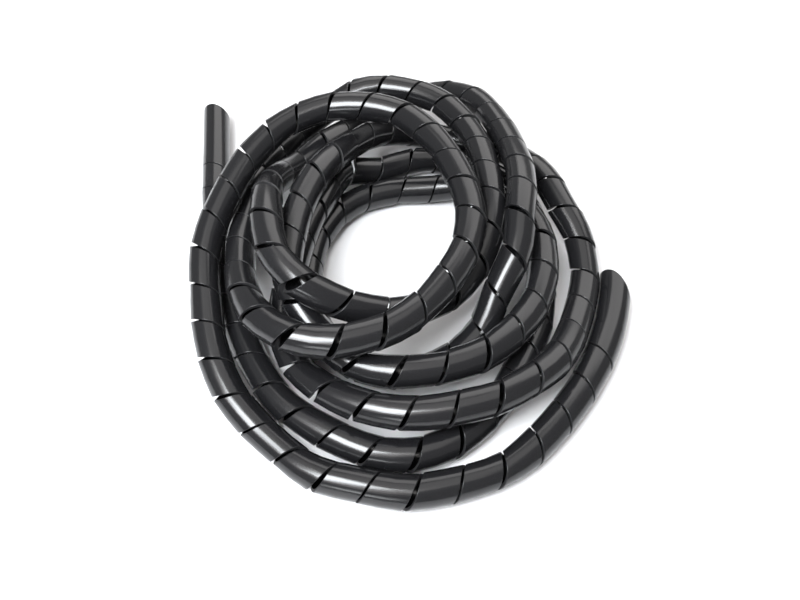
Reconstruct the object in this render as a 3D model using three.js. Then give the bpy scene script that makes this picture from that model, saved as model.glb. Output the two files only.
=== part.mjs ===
// Spiral cable wrap, lying on the floor in a loose hank. One piece of black polyethylene tube
// that is slit from end to end along a left-handed helix. Millimetres, +Z up.
import * as THREE from 'three';
import { mergeVertices } from 'three/addons/utils/BufferGeometryUtils.js';

// Driving sizes
const TUBE_DIAMETER = 10; // outside
const WALL = 1;
const BAND_WIDTH = 11.6; // between two turns of the slit, along the tube
const SLIT_WIDTH = 0.4; // where the tube is straight
const END_RUN = 16; // at each free end the slit runs straight beside the underside this far
const RIGHT_CUT = 10; // the right-hand free end is cut back this far on the hank's outer side
const LEFT_CUT = 4; // and the left-hand one on its inner side
const BEND_IN_BAND = 0.65; // share of every bend that the band takes, the slit opens for the rest
const SIDES = 8; // generators to a turn
const END_STEPS = 4; // steps along a free end

const OUTER_RADIUS = TUBE_DIAMETER / 2;
const INNER_RADIUS = OUTER_RADIUS - WALL;
const UP = new THREE.Vector3(0, 0, 1);
const UNDERSIDE = Math.PI;

// Centre line from the right-hand free end to the left-hand one, in tube diameters: x, y and
// height above the floor. Chosen by hand, one row group for each turn of the hank.
const ROUTE = [
  [7.2, 0.8, 0.5], [7.0, -0.2, 0.5], [6.6, -1.4, 0.5], [6.0, -2.6, 0.5], [5.1, -3.9, 0.5],
  [4.0, -5.1, 0.5], [2.8, -6.0, 0.5], [1.5, -6.4, 0.5], [0.2, -6.6, 0.5], [-1.1, -6.4, 0.5],
  [-2.5, -6.0, 0.5], [-3.7, -5.1, 0.5], [-4.9, -3.9, 0.8], [-5.6, -2.6, 1.1], [-6.0, -1.1, 1.4],
  [-6.2, 0.4, 1.8], [-6.1, 1.5, 2.1], [-5.7, 2.8, 2.4], [-5.1, 4.3, 2.6], [-4.1, 5.6, 2.8],
  [-2.7, 6.3, 3.0], [-1.3, 6.3, 3.1],

  [0.1, 5.8, 3.1], [1.2, 4.5, 3.1], [1.9, 3.0, 3.0], [2.2, 1.5, 2.9], [1.9, 0.0, 2.8],
  [1.2, -1.2, 2.7], [0.1, -2.4, 2.7], [-1.2, -3.0, 2.7], [-2.3, -3.1, 2.7], [-3.3, -2.8, 2.7],
  [-4.1, -2.1, 2.5], [-4.8, -0.8, 2.1], [-5.2, 1.2, 1.6], [-5.2, 3.2, 1.4], [-4.8, 5.0, 1.3],
  [-3.9, 6.8, 1.3], [-2.7, 8.0, 1.6],

  [-1.3, 8.6, 2.0], [0.2, 8.4, 2.1], [1.5, 7.7, 2.1], [2.5, 6.2, 2.1], [2.9, 4.4, 2.2],
  [3.0, 2.5, 2.2], [2.7, 1.0, 1.9], [2.0, -0.3, 1.7], [0.9, -1.1, 1.6], [-0.2, -1.6, 1.9],
  [-1.3, -1.8, 2.5], [-2.4, -1.7, 3.1], [-3.2, -1.2, 3.4], [-3.8, -0.2, 3.5], [-4.1, 1.4, 3.4],
  [-4.2, 3.1, 2.6], [-3.7, 4.8, 1.6], [-2.7, 6.3, 1.4], [-1.5, 7.9, 0.9], [-0.1, 9.2, 0.8],

  [1.6, 9.5, 1.1], [3.0, 8.2, 1.7], [3.7, 6.1, 2.1], [4.0, 3.7, 2.6], [3.8, 1.7, 2.8],
  [3.6, 0.4, 2.4], [3.0, -0.7, 1.7], [2.5, -1.6, 0.9], [1.6, -2.4, 0.6], [0.3, -2.9, 0.5],
  [-1.1, -2.7, 0.5], [-2.2, -1.9, 0.5], [-2.9, -0.5, 0.5], [-3.1, 0.9, 0.5], [-2.8, 2.6, 0.5],
  [-2.0, 3.9, 0.5], [-0.7, 4.6, 0.5], [0.9, 4.8, 0.5],

  [2.6, 4.6, 0.8], [3.7, 3.3, 1.4], [4.4, 2.3, 1.6], [4.6, 1.0, 1.6], [4.4, -0.3, 1.6],
  [3.8, -1.6, 1.6], [2.6, -2.8, 1.7], [1.4, -3.3, 1.7], [0.1, -3.5, 1.7], [-1.2, -3.2, 1.6],
  [-2.3, -2.4, 1.8], [-3.0, -1.5, 2.2], [-3.4, -0.5, 2.5], [-3.4, 0.8, 2.6], [-3.1, 2.4, 2.7],
  [-2.4, 4.1, 2.6], [-1.1, 6.6, 1.5], [0.5, 7.6, 0.7],

  [2.3, 7.4, 0.5], [3.8, 6.8, 0.6], [5.0, 5.0, 1.2], [5.6, 3.3, 1.2], [6.1, 2.0, 0.9],
  [6.1, 0.5, 0.6], [5.5, -1.3, 0.8], [4.6, -2.9, 1.3], [3.3, -4.0, 1.6], [2.0, -4.5, 1.6],
  [0.6, -4.7, 1.5], [-0.8, -4.5, 1.4], [-2.2, -3.8, 1.2], [-3.2, -2.7, 1.0], [-3.6, -1.5, 1.2],
  [-3.5, -0.2, 1.5], [-3.3, 1.4, 1.5],

  [-2.8, 2.9, 1.6], [-2.1, 4.9, 1.2], [-0.8, 5.7, 0.6], [0.8, 6.3, 0.5], [2.5, 6.0, 0.5],
  [3.9, 5.1, 0.5], [4.6, 3.7, 0.5], [4.8, 2.2, 0.5], [4.7, 0.6, 0.5], [4.4, -1.0, 0.5],
  [3.8, -2.4, 0.5], [2.9, -3.9, 0.5], [1.7, -5.0, 0.5], [0.4, -5.5, 0.5], [-0.9, -5.4, 0.5],
  [-2.2, -4.8, 0.5], [-3.5, -3.9, 0.5], [-4.5, -2.5, 0.5], [-5.3, -0.9, 0.5], [-5.9, 0.7, 0.5],
  [-6.3, 2.4, 0.5], [-6.7, 4.3, 0.5], [-7.0, 6.4, 0.5], [-7.4, 9.1, 0.5],
];

function makeCentreLine() {
  const points = ROUTE.map(([x, y, z]) => new THREE.Vector3(x, y, z).multiplyScalar(TUBE_DIAMETER));
  const curve = new THREE.CatmullRomCurve3(points, false, 'catmullrom', 0.5);
  curve.arcLengthDivisions = points.length * 12;
  return curve;
}

// Where a point of the tube lies: distance along the tube, angle from its top, and radius. The
// slit is left-handed, so angles grow to the left of someone who looks along the tube.
function makeTubePoint(curve) {
  const length = curve.getLength();
  function frameAt(distance) {
    const share = THREE.MathUtils.clamp(distance / length, 0, 1);
    const centre = curve.getPointAt(share);
    const along = curve.getTangentAt(share);
    const left = new THREE.Vector3().crossVectors(UP, along).normalize();
    const top = new THREE.Vector3().crossVectors(along, left);
    return { centre, along, left, top };
  }
  return function tubePoint(distance, offset, angle, radius) {
    const frame = frameAt(distance);
    return frame.centre.clone()
      .addScaledVector(frame.along, offset)
      .addScaledVector(frame.top, radius * Math.cos(angle))
      .addScaledVector(frame.left, radius * Math.sin(angle));
  };
}

// Distance along the tube from one turn of the slit to the next. It grows in a bend, so that
// the band's edges stay a slit's width apart on the inside of the bend.
function pitchAt(curve, distance) {
  const reach = BAND_WIDTH / 2;
  const length = curve.getLength();
  const before = curve.getTangentAt(Math.max(distance - reach, 0) / length);
  const after = curve.getTangentAt(Math.min(distance + reach, length) / length);
  const bend = before.angleTo(after) / (2 * reach) * OUTER_RADIUS;
  return (BAND_WIDTH * (1 - BEND_IN_BAND * bend) + SLIT_WIDTH) / (1 - bend);
}

// Starts of the band's generators along the tube, SIDES of them to a turn. They are spread out
// a little so that the wrap has whole turns, which puts the slit under both free ends.
function bandStarts(curve) {
  const room = curve.getLength() - 2 * END_RUN - BAND_WIDTH;
  const steps = [0];
  while (steps.at(-1) < room) {
    const middle = END_RUN + steps.at(-1) + BAND_WIDTH / 2;
    steps.push(steps.at(-1) + pitchAt(curve, middle) / SIDES);
  }
  const turns = Math.floor((steps.length - 1) / SIDES);
  const used = steps.slice(0, turns * SIDES + 1);
  return used.map((step) => END_RUN + step * room / used.at(-1));
}

function makeWrapGeometry() {
  const curve = makeCentreLine();
  const length = curve.getLength();
  const tubePoint = makeTubePoint(curve);
  const starts = bandStarts(curve);
  const last = starts.length - 1;
  const bandColumn = END_STEPS;
  const slitAngle = SLIT_WIDTH / OUTER_RADIUS;

  // Half a side is added so that the tube lies on a flat side
  function angleOf(row) {
    const angle = UNDERSIDE + (row + 0.5) * 2 * Math.PI / SIDES;
    if (row === 0) return angle + slitAngle;
    return row === last ? angle - slitAngle : angle;
  }

  function pointOf(row, column, radius) {
    const start = starts[row];
    const angle = angleOf(row);
    const end = start + BAND_WIDTH;
    if (column < bandColumn) {
      const tip = RIGHT_CUT * ((1 + Math.sin(angle)) / 2) ** 2;
      return tubePoint(tip + (start - tip) * column / END_STEPS, 0, angle, radius);
    }
    if (column > bandColumn + 1) {
      const tip = length - LEFT_CUT * ((1 - Math.sin(angle)) / 2) ** 2;
      const share = (column - bandColumn - 1) / END_STEPS;
      return tubePoint(end + (tip - end) * share, 0, angle, radius);
    }
    const half = column === bandColumn ? -BAND_WIDTH / 2 : BAND_WIDTH / 2;
    const middle = start + BAND_WIDTH / 2;
    const straight = tubePoint(middle, half, angle, radius);
    return straight.lerp(tubePoint(middle + half, 0, angle, radius), BEND_IN_BAND);
  }

  // The wrap is a sheet of cells: one column for the band, and further columns at the free ends
  function hasCell(row, column) {
    if (row < 0 || row >= last || column < 0 || column > 2 * END_STEPS) return false;
    if (column < bandColumn) return row < SIDES;
    if (column > bandColumn) return row >= last - SIDES;
    return true;
  }

  const corners = [];
  function addQuad(a, b, c, d) {
    corners.push(a, b, c, a, c, d);
  }

  function addWall(fromRow, fromColumn, toRow, toColumn) {
    addQuad(
      pointOf(fromRow, fromColumn, INNER_RADIUS), pointOf(toRow, toColumn, INNER_RADIUS),
      pointOf(toRow, toColumn, OUTER_RADIUS), pointOf(fromRow, fromColumn, OUTER_RADIUS),
    );
  }

  for (let row = 0; row < last; row += 1) {
    for (let column = 0; column <= 2 * END_STEPS; column += 1) {
      if (!hasCell(row, column)) continue;
      const ring = [[row, column], [row, column + 1], [row + 1, column + 1], [row + 1, column]];
      addQuad(...ring.map(([r, c]) => pointOf(r, c, OUTER_RADIUS)));
      addQuad(...ring.reverse().map(([r, c]) => pointOf(r, c, INNER_RADIUS)));
      if (!hasCell(row, column - 1)) addWall(row + 1, column, row, column);
      if (!hasCell(row, column + 1)) addWall(row, column + 1, row + 1, column + 1);
      if (!hasCell(row - 1, column)) addWall(row, column, row, column + 1);
      if (!hasCell(row + 1, column)) addWall(row + 1, column + 1, row + 1, column);
    }
  }

  const geometry = new THREE.BufferGeometry().setFromPoints(corners);
  geometry.computeBoundingBox();
  const box = geometry.boundingBox;
  const middle = box.getCenter(new THREE.Vector3());
  geometry.translate(-middle.x, -middle.y, -box.min.z);
  const merged = mergeVertices(geometry, 1e-4);
  merged.computeVertexNormals();
  return merged;
}

function makeWrapMaterial() {
  return new THREE.MeshStandardMaterial({ color: 0x17181a, roughness: 0.3, metalness: 0 });
}

const wrap = new THREE.Mesh(makeWrapGeometry(), makeWrapMaterial());
wrap.name = 'spiral_wrap';

const group = new THREE.Group();
group.add(wrap);

export default group;
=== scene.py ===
# Spiral cable wrap in a loose hank: the looks of the part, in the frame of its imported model.
# Metres, +Z up. The wrap is one tube, slit from end to end along a left-handed helix.
import math

import bpy
import numpy as np
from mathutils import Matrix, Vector


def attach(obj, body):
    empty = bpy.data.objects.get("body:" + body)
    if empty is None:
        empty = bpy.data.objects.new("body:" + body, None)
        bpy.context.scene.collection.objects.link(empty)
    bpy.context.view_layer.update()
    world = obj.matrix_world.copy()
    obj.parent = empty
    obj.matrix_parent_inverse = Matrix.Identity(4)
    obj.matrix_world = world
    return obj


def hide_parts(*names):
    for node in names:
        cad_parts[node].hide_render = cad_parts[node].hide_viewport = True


# The wrap's sizes, as in the part's source
TUBE_DIAMETER = 0.010
WALL = 0.001
BAND_WIDTH = 0.0116
SLIT_WIDTH = 0.0004
END_RUN = 0.016
RIGHT_CUT = 0.010
LEFT_CUT = 0.004
BEND_IN_BAND = 0.65

# The band tips to and fro, which only the scene shows: its middle sinks by this at most, and
# one of its edges by twice as much
BAND_LEAN = 0.0004
LEAN_PERIODS = (2.6, 1.7, 5.3)  # in turns of the band

# Fineness of the mesh
STEPS_PER_TURN = 28
BAND_COLUMNS = 2
END_COLUMNS = 10
LINE_STEP = 0.0002
STEPS_PER_STRETCH = 40
CORNER_ROUNDING = 0.00014
CORNER_SEGMENTS = 2
SHARP_CORNER = math.radians(50)

# Camera, from the photograph. The lens and the film are in millimetres.
CAMERA_PLACE = (0.0019, -0.1478, 0.193)
CAMERA_DOWN = math.radians(55)
CAMERA_LENS = 31.5
CAMERA_FILM = 36
NEAREST_SEEN = 0.01

# Polyethylene, as extruded and where the knife went through
PLASTIC_IOR = 1.51
PLASTIC_BLACK = (0.010, 0.010, 0.011, 1)
GLOSS = (0.13, 0.24)
DIE_LINES = (2600, 28, 1)  # noise features to a metre, round the tube and along it
DIE_LINE_STRENGTH = 0.25
DIE_LINE_HEIGHT = 0.00008
CUT_GREY = (0.018, 0.018, 0.019, 1)
CUT_GLOSS = (0.38, 0.55)
KNIFE_MARKS = 2500  # noise features to a metre

# Studio: the floor, the light from all round, and soft lights with place, size, radiance and
# colour
FLOOR_SIZE = 3.0
FLOOR_COLOUR = (0.85, 0.85, 0.86, 1)
FLOOR_GLOSS = 0.5
ROOM_STRENGTH = 0.32
SOFT_LIGHTS = {
    "key_softbox": ((-0.14, -0.17, 0.36), (0.17, 0.19), 25, (0.92, 0.96, 1.0)),
    "wide_softbox": ((-0.22, -0.27, 0.6), (0.5, 0.5), 2.5, (1.0, 0.96, 0.93)),
    "overhead": ((0, 0.05, 1.3), (1.1, 1.1), 1.1, (1.0, 0.98, 0.96)),
    "back_panel": ((0.3, 0.72, 0.68), (1.3, 0.7), 2.2, (1.0, 0.98, 0.97)),
    "low_front": ((-0.25, -0.9, 0.28), (0.25, 0.12), 8, (0.95, 0.98, 1.0)),
}

OUTER_RADIUS = TUBE_DIAMETER / 2
INNER_RADIUS = OUTER_RADIUS - WALL
SLIT_ANGLE = math.radians(180 + 22.5)  # from the top, where the slit runs beside the underside

# Centre line from the right-hand free end to the left-hand one, in tube diameters: x, y and
# height above the floor. The same points as in the part's source, one group for each turn.
ROUTE = [
    (7.2, 0.8, 0.5), (7.0, -0.2, 0.5), (6.6, -1.4, 0.5), (6.0, -2.6, 0.5), (5.1, -3.9, 0.5),
    (4.0, -5.1, 0.5), (2.8, -6.0, 0.5), (1.5, -6.4, 0.5), (0.2, -6.6, 0.5), (-1.1, -6.4, 0.5),
    (-2.5, -6.0, 0.5), (-3.7, -5.1, 0.5), (-4.9, -3.9, 0.8), (-5.6, -2.6, 1.1), (-6.0, -1.1, 1.4),
    (-6.2, 0.4, 1.8), (-6.1, 1.5, 2.1), (-5.7, 2.8, 2.4), (-5.1, 4.3, 2.6), (-4.1, 5.6, 2.8),
    (-2.7, 6.3, 3.0), (-1.3, 6.3, 3.1),

    (0.1, 5.8, 3.1), (1.2, 4.5, 3.1), (1.9, 3.0, 3.0), (2.2, 1.5, 2.9), (1.9, 0.0, 2.8),
    (1.2, -1.2, 2.7), (0.1, -2.4, 2.7), (-1.2, -3.0, 2.7), (-2.3, -3.1, 2.7), (-3.3, -2.8, 2.7),
    (-4.1, -2.1, 2.5), (-4.8, -0.8, 2.1), (-5.2, 1.2, 1.6), (-5.2, 3.2, 1.4), (-4.8, 5.0, 1.3),
    (-3.9, 6.8, 1.3), (-2.7, 8.0, 1.6),

    (-1.3, 8.6, 2.0), (0.2, 8.4, 2.1), (1.5, 7.7, 2.1), (2.5, 6.2, 2.1), (2.9, 4.4, 2.2),
    (3.0, 2.5, 2.2), (2.7, 1.0, 1.9), (2.0, -0.3, 1.7), (0.9, -1.1, 1.6), (-0.2, -1.6, 1.9),
    (-1.3, -1.8, 2.5), (-2.4, -1.7, 3.1), (-3.2, -1.2, 3.4), (-3.8, -0.2, 3.5), (-4.1, 1.4, 3.4),
    (-4.2, 3.1, 2.6), (-3.7, 4.8, 1.6), (-2.7, 6.3, 1.4), (-1.5, 7.9, 0.9), (-0.1, 9.2, 0.8),

    (1.6, 9.5, 1.1), (3.0, 8.2, 1.7), (3.7, 6.1, 2.1), (4.0, 3.7, 2.6), (3.8, 1.7, 2.8),
    (3.6, 0.4, 2.4), (3.0, -0.7, 1.7), (2.5, -1.6, 0.9), (1.6, -2.4, 0.6), (0.3, -2.9, 0.5),
    (-1.1, -2.7, 0.5), (-2.2, -1.9, 0.5), (-2.9, -0.5, 0.5), (-3.1, 0.9, 0.5), (-2.8, 2.6, 0.5),
    (-2.0, 3.9, 0.5), (-0.7, 4.6, 0.5), (0.9, 4.8, 0.5),

    (2.6, 4.6, 0.8), (3.7, 3.3, 1.4), (4.4, 2.3, 1.6), (4.6, 1.0, 1.6), (4.4, -0.3, 1.6),
    (3.8, -1.6, 1.6), (2.6, -2.8, 1.7), (1.4, -3.3, 1.7), (0.1, -3.5, 1.7), (-1.2, -3.2, 1.6),
    (-2.3, -2.4, 1.8), (-3.0, -1.5, 2.2), (-3.4, -0.5, 2.5), (-3.4, 0.8, 2.6), (-3.1, 2.4, 2.7),
    (-2.4, 4.1, 2.6), (-1.1, 6.6, 1.5), (0.5, 7.6, 0.7),

    (2.3, 7.4, 0.5), (3.8, 6.8, 0.6), (5.0, 5.0, 1.2), (5.6, 3.3, 1.2), (6.1, 2.0, 0.9),
    (6.1, 0.5, 0.6), (5.5, -1.3, 0.8), (4.6, -2.9, 1.3), (3.3, -4.0, 1.6), (2.0, -4.5, 1.6),
    (0.6, -4.7, 1.5), (-0.8, -4.5, 1.4), (-2.2, -3.8, 1.2), (-3.2, -2.7, 1.0), (-3.6, -1.5, 1.2),
    (-3.5, -0.2, 1.5), (-3.3, 1.4, 1.5),

    (-2.8, 2.9, 1.6), (-2.1, 4.9, 1.2), (-0.8, 5.7, 0.6), (0.8, 6.3, 0.5), (2.5, 6.0, 0.5),
    (3.9, 5.1, 0.5), (4.6, 3.7, 0.5), (4.8, 2.2, 0.5), (4.7, 0.6, 0.5), (4.4, -1.0, 0.5),
    (3.8, -2.4, 0.5), (2.9, -3.9, 0.5), (1.7, -5.0, 0.5), (0.4, -5.5, 0.5), (-0.9, -5.4, 0.5),
    (-2.2, -4.8, 0.5), (-3.5, -3.9, 0.5), (-4.5, -2.5, 0.5), (-5.3, -0.9, 0.5), (-5.9, 0.7, 0.5),
    (-6.3, 2.4, 0.5), (-6.7, 4.3, 0.5), (-7.0, 6.4, 0.5), (-7.4, 9.1, 0.5),
]


class CentreLine:
    """The tube's centre line, looked up by distance from the right-hand free end."""

    def __init__(self, points, step):
        points = np.vstack([2 * points[0] - points[1], points, 2 * points[-1] - points[-2]])
        shares = np.linspace(0, 1, STEPS_PER_STRETCH, endpoint=False)[:, None]
        stretches = [self._stretch(points[i:i + 4], shares) for i in range(len(points) - 3)]
        rough = np.vstack(stretches + [points[-2:-1]])
        reach = np.append(0, np.cumsum(np.linalg.norm(np.diff(rough, axis=0), axis=1)))
        self.length = reach[-1]
        self.distances = np.linspace(0, self.length, round(self.length / step))
        self.points = np.column_stack([np.interp(self.distances, reach, c) for c in rough.T])
        slopes = np.gradient(self.points, self.distances, axis=0)
        self.slopes = slopes / np.linalg.norm(slopes, axis=1)[:, None]

    @staticmethod
    def _stretch(corners, t):
        a, b, c, d = corners
        cubic = (3 * (b - c) + d - a) * t**3
        return 0.5 * (2 * b + (c - a) * t + (2 * a - 5 * b + 4 * c - d) * t**2 + cubic)

    def _look_up(self, table, distance):
        return np.column_stack([np.interp(distance, self.distances, c) for c in table.T])

    def centre(self, distance):
        return self._look_up(self.points, distance)

    def along(self, distance):
        slopes = self._look_up(self.slopes, distance)
        return slopes / np.linalg.norm(slopes, axis=1)[:, None]

    def tube_point(self, distance, offset, angle, radius):
        """Points of the tube: distance along it, offset straight on from there, angle from its
        top to the left, and radius."""
        along = self.along(distance)
        left = np.cross((0, 0, 1), along)
        left /= np.linalg.norm(left, axis=1)[:, None]
        top = np.cross(along, left)
        out = top * np.cos(angle)[:, None] + left * np.sin(angle)[:, None]
        across = out * np.asarray(radius)[..., None]
        return self.centre(distance) + along * np.asarray(offset)[:, None] + across


def pitches(line):
    """Distance from one turn of the slit to the next, at each distance along the line."""
    reach = BAND_WIDTH / 2
    before = line.along(np.maximum(line.distances - reach, 0))
    after = line.along(np.minimum(line.distances + reach, line.length))
    turned = np.arccos(np.clip(np.sum(before * after, axis=1), -1, 1))
    bend = turned / BAND_WIDTH * OUTER_RADIUS
    return (BAND_WIDTH * (1 - BEND_IN_BAND * bend) + SLIT_WIDTH) / (1 - bend)


def band_starts(line):
    """Starts of the band's generators along the tube, in whole turns from end to end."""
    room = line.length - 2 * END_RUN - BAND_WIDTH
    first_middle = END_RUN + BAND_WIDTH / 2
    inside = (line.distances >= first_middle) & (line.distances <= first_middle + room)
    turns_there = np.cumsum(LINE_STEP / pitches(line)[inside])
    turns = math.floor(turns_there[-1])
    wanted = np.linspace(0, turns_there[-1], turns * STEPS_PER_TURN + 1)
    places = line.distances[inside]
    share = np.interp(wanted, turns_there - turns_there[0], places) - places[0]
    return END_RUN + share * room / share[-1]


class WrapMesh:
    """The wrap as a sheet of cells: rows go round the tube, columns along it. The band takes
    the middle columns all the way, and each free end has further columns of its own."""

    def __init__(self, line):
        self.line = line
        self.starts = band_starts(line)
        self.last = len(self.starts) - 1
        self.first_band = END_COLUMNS
        self.last_band = END_COLUMNS + BAND_COLUMNS
        self.columns = self.last_band + END_COLUMNS
        self.places, self.flat = self._places()
        self.faces = []
        self.cut_faces = []

    def _angles(self):
        rows = np.arange(self.last + 1)
        angles = SLIT_ANGLE + rows * 2 * math.pi / STEPS_PER_TURN
        slit_angle = SLIT_WIDTH / OUTER_RADIUS
        angles[0] += slit_angle
        angles[-1] -= slit_angle
        return angles

    def _leans(self):
        """How far the band tips at each row, and which way. It lies flat at the free ends."""
        turns = np.arange(self.last + 1) / STEPS_PER_TURN
        waves = [np.sin(2 * math.pi * turns / period) for period in LEAN_PERIODS]
        to_end = np.minimum(turns, turns[-1] - turns)
        return BAND_LEAN * np.mean(waves, axis=0) * np.clip(to_end - 1, 0, 1)

    def _column(self, column, angles, radius):
        starts, length = self.starts, self.line.length
        ends = starts + BAND_WIDTH
        still = np.zeros_like(starts)
        if column < self.first_band:
            tips = RIGHT_CUT * ((1 + np.sin(angles)) / 2) ** 2
            distance = tips + (starts - tips) * column / END_COLUMNS
            return distance, self.line.tube_point(distance, still, angles, radius)
        if column > self.last_band:
            tips = length - LEFT_CUT * ((1 - np.sin(angles)) / 2) ** 2
            distance = ends + (tips - ends) * (column - self.last_band) / END_COLUMNS
            return distance, self.line.tube_point(distance, still, angles, radius)
        middle = starts + BAND_WIDTH / 2
        offset = still + BAND_WIDTH * ((column - self.first_band) / BAND_COLUMNS - 0.5)
        leans = self._leans()
        lowered = radius - np.abs(leans) + leans * offset / (BAND_WIDTH / 2)
        straight = self.line.tube_point(middle, offset, angles, lowered)
        curved = self.line.tube_point(middle + offset, still, angles, lowered)
        return middle + offset, straight + (curved - straight) * BEND_IN_BAND

    def _places(self):
        angles = self._angles()
        places, flat = [], []
        for radius in (OUTER_RADIUS, INNER_RADIUS):
            for column in range(self.columns + 1):
                distance, points = self._column(column, angles, radius)
                places.append(points)
                flat.append(np.column_stack([angles * OUTER_RADIUS, distance]))
        return np.vstack(places), np.vstack(flat)

    def _corner(self, row, column, side):
        return (side * (self.columns + 1) + column) * (self.last + 1) + row

    def has_cell(self, row, column):
        if not (0 <= row < self.last and 0 <= column < self.columns):
            return False
        if column < self.first_band:
            return row < STEPS_PER_TURN
        if column >= self.last_band:
            return row >= self.last - STEPS_PER_TURN
        return True

    def _wall(self, start, end):
        self.cut_faces.append(len(self.faces))
        self.faces.append((
            self._corner(*start, 1), self._corner(*end, 1),
            self._corner(*end, 0), self._corner(*start, 0),
        ))

    def fill(self):
        for row in range(self.last):
            for column in range(self.columns):
                if not self.has_cell(row, column):
                    continue
                near, far = (row, column), (row, column + 1)
                next_near, next_far = (row + 1, column), (row + 1, column + 1)
                ring = (near, far, next_far, next_near)
                self.faces.append(tuple(self._corner(*c, 0) for c in ring))
                self.faces.append(tuple(self._corner(*c, 1) for c in reversed(ring)))
                if not self.has_cell(row, column - 1):
                    self._wall(next_near, near)
                if not self.has_cell(row, column + 1):
                    self._wall(far, next_far)
                if not self.has_cell(row - 1, column):
                    self._wall(near, far)
                if not self.has_cell(row + 1, column):
                    self._wall(next_far, next_near)

    def make(self, name):
        """A Blender mesh without the corners that no cell uses, and the move that centres it."""
        self.fill()
        faces = np.array(self.faces)
        used, faces = np.unique(faces, return_inverse=True)
        faces = faces.reshape(-1, 4)
        places = self.places[used]
        low, high = places.min(axis=0), places.max(axis=0)
        move = -np.array([(low[0] + high[0]) / 2, (low[1] + high[1]) / 2, low[2]])
        mesh = bpy.data.meshes.new(name)
        mesh.from_pydata((places + move).tolist(), [], faces.tolist())
        layer = mesh.uv_layers.new(name="along_tube")
        layer.data.foreach_set("uv", self.flat[used][faces.ravel()].ravel())
        cut = np.zeros(len(faces), dtype=np.int32)
        cut[self.cut_faces] = 1
        mesh.polygons.foreach_set("material_index", cut)
        mesh.polygons.foreach_set("use_smooth", np.ones(len(faces), dtype=bool))
        mesh.update()
        return mesh, move


def new_material(name):
    material = bpy.data.materials.new(name)
    material.use_nodes = True
    return material, material.node_tree.nodes, material.node_tree.links


def polyethylene():
    """Glossy black extruded plastic, with faint die lines along the tube."""
    material, nodes, links = new_material("black_polyethylene")
    shader = nodes["Principled BSDF"]
    shader.inputs["Base Color"].default_value = PLASTIC_BLACK
    shader.inputs["IOR"].default_value = PLASTIC_IOR

    place = nodes.new("ShaderNodeUVMap")
    place.uv_map = "along_tube"
    stretch = nodes.new("ShaderNodeMapping")
    stretch.inputs["Scale"].default_value = DIE_LINES
    links.new(place.outputs["UV"], stretch.inputs["Vector"])
    lines = nodes.new("ShaderNodeTexNoise")
    lines.inputs["Scale"].default_value = 1
    lines.inputs["Detail"].default_value = 3
    links.new(stretch.outputs["Vector"], lines.inputs["Vector"])

    gloss = nodes.new("ShaderNodeMapRange")
    gloss.inputs["To Min"].default_value, gloss.inputs["To Max"].default_value = GLOSS
    links.new(lines.outputs["Fac"], gloss.inputs["Value"])
    links.new(gloss.outputs["Result"], shader.inputs["Roughness"])

    relief = nodes.new("ShaderNodeBump")
    relief.inputs["Strength"].default_value = DIE_LINE_STRENGTH
    relief.inputs["Distance"].default_value = DIE_LINE_HEIGHT
    links.new(lines.outputs["Fac"], relief.inputs["Height"])
    links.new(relief.outputs["Normal"], shader.inputs["Normal"])
    return material


def cut_polyethylene():
    """The slit's faces: the same plastic, greyer and duller where the knife went through."""
    material, nodes, links = new_material("cut_polyethylene")
    shader = nodes["Principled BSDF"]
    shader.inputs["Base Color"].default_value = CUT_GREY
    shader.inputs["IOR"].default_value = PLASTIC_IOR
    place = nodes.new("ShaderNodeTexCoord")
    marks = nodes.new("ShaderNodeTexNoise")
    marks.inputs["Scale"].default_value = KNIFE_MARKS
    links.new(place.outputs["Object"], marks.inputs["Vector"])
    dull = nodes.new("ShaderNodeMapRange")
    dull.inputs["To Min"].default_value, dull.inputs["To Max"].default_value = CUT_GLOSS
    links.new(marks.outputs["Fac"], dull.inputs["Value"])
    links.new(dull.outputs["Result"], shader.inputs["Roughness"])
    return material


def add_wrap():
    line = CentreLine(np.array(ROUTE) * TUBE_DIAMETER, LINE_STEP)
    mesh, move = WrapMesh(line).make("wrap_band")
    wrap = bpy.data.objects.new("wrap_band", mesh)
    bpy.context.collection.objects.link(wrap)
    mesh.materials.append(polyethylene())
    mesh.materials.append(cut_polyethylene())

    corners = wrap.modifiers.new("rounded_corners", "BEVEL")
    corners.width = CORNER_ROUNDING
    corners.segments = CORNER_SEGMENTS
    corners.limit_method = "ANGLE"
    corners.angle_limit = SHARP_CORNER
    corners.use_clamp_overlap = True
    even = wrap.modifiers.new("even_shading", "WEIGHTED_NORMAL")
    even.keep_sharp = True

    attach(wrap, "root")
    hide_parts("spiral_wrap")


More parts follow.
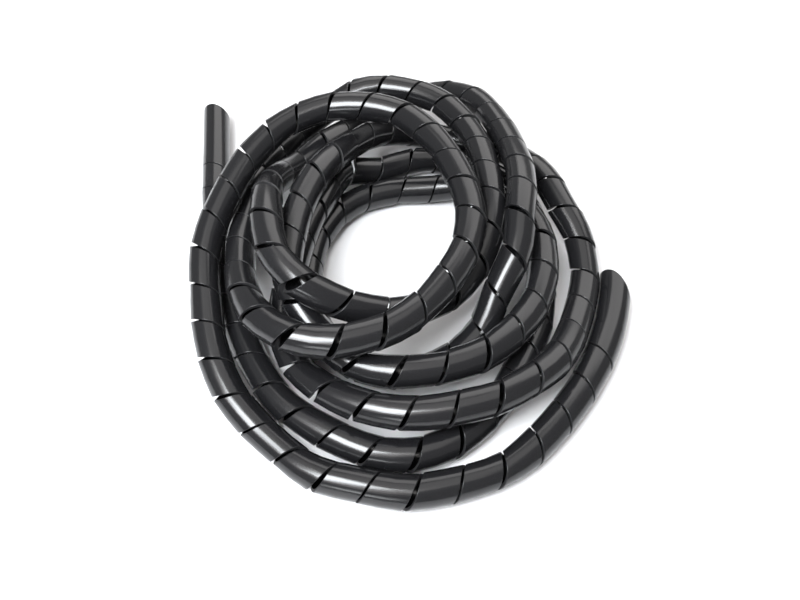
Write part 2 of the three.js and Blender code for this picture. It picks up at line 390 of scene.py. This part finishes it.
def add_floor():
    bpy.ops.mesh.primitive_plane_add(size=FLOOR_SIZE, location=(0, 0, 0))
    floor = bpy.context.object
    floor.name = "floor"
    material, nodes, _ = new_material("pale_floor")
    shader = nodes["Principled BSDF"]
    shader.inputs["Base Color"].default_value = FLOOR_COLOUR
    shader.inputs["Roughness"].default_value = FLOOR_GLOSS
    floor.data.materials.append(material)


def add_area_light(name, place, size, radiance, colour):
    """A soft rectangle of light, as bright as asked, that faces the middle of the hank."""
    light = bpy.data.lights.new(name, "AREA")
    light.shape = "RECTANGLE"
    light.size, light.size_y = size
    light.energy = radiance * math.pi * light.size * light.size_y
    light.color = colour
    lamp = bpy.data.objects.new(name, light)
    bpy.context.collection.objects.link(lamp)
    lamp.location = place
    lamp.rotation_euler = (-Vector(place)).to_track_quat("-Z", "Y").to_euler()


def add_lights():
    world = bpy.data.worlds.new("studio")
    bpy.context.scene.world = world
    world.use_nodes = True
    background = world.node_tree.nodes["Background"]
    background.inputs["Color"].default_value = (1, 1, 1, 1)
    background.inputs["Strength"].default_value = ROOM_STRENGTH
    for name, (place, size, radiance, colour) in SOFT_LIGHTS.items():
        add_area_light(name, place, size, radiance, colour)


def add_camera():
    camera = bpy.data.cameras.new("camera")
    camera.lens = CAMERA_LENS
    camera.sensor_width = CAMERA_FILM
    camera.clip_start = NEAREST_SEEN
    viewer = bpy.data.objects.new("camera", camera)
    bpy.context.collection.objects.link(viewer)
    viewer.location = CAMERA_PLACE
    viewer.rotation_euler = (math.pi / 2 - CAMERA_DOWN, 0, 0)
    bpy.context.scene.camera = viewer


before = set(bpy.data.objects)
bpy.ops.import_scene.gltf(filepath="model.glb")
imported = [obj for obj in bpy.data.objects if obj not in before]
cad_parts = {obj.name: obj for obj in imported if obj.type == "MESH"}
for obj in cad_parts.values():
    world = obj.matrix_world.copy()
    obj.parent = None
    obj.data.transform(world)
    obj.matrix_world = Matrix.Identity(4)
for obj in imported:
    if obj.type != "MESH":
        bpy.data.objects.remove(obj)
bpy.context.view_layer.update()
add_camera()
add_wrap()
add_floor()
add_lights()
bpy.context.scene.view_settings.view_transform = "Standard"
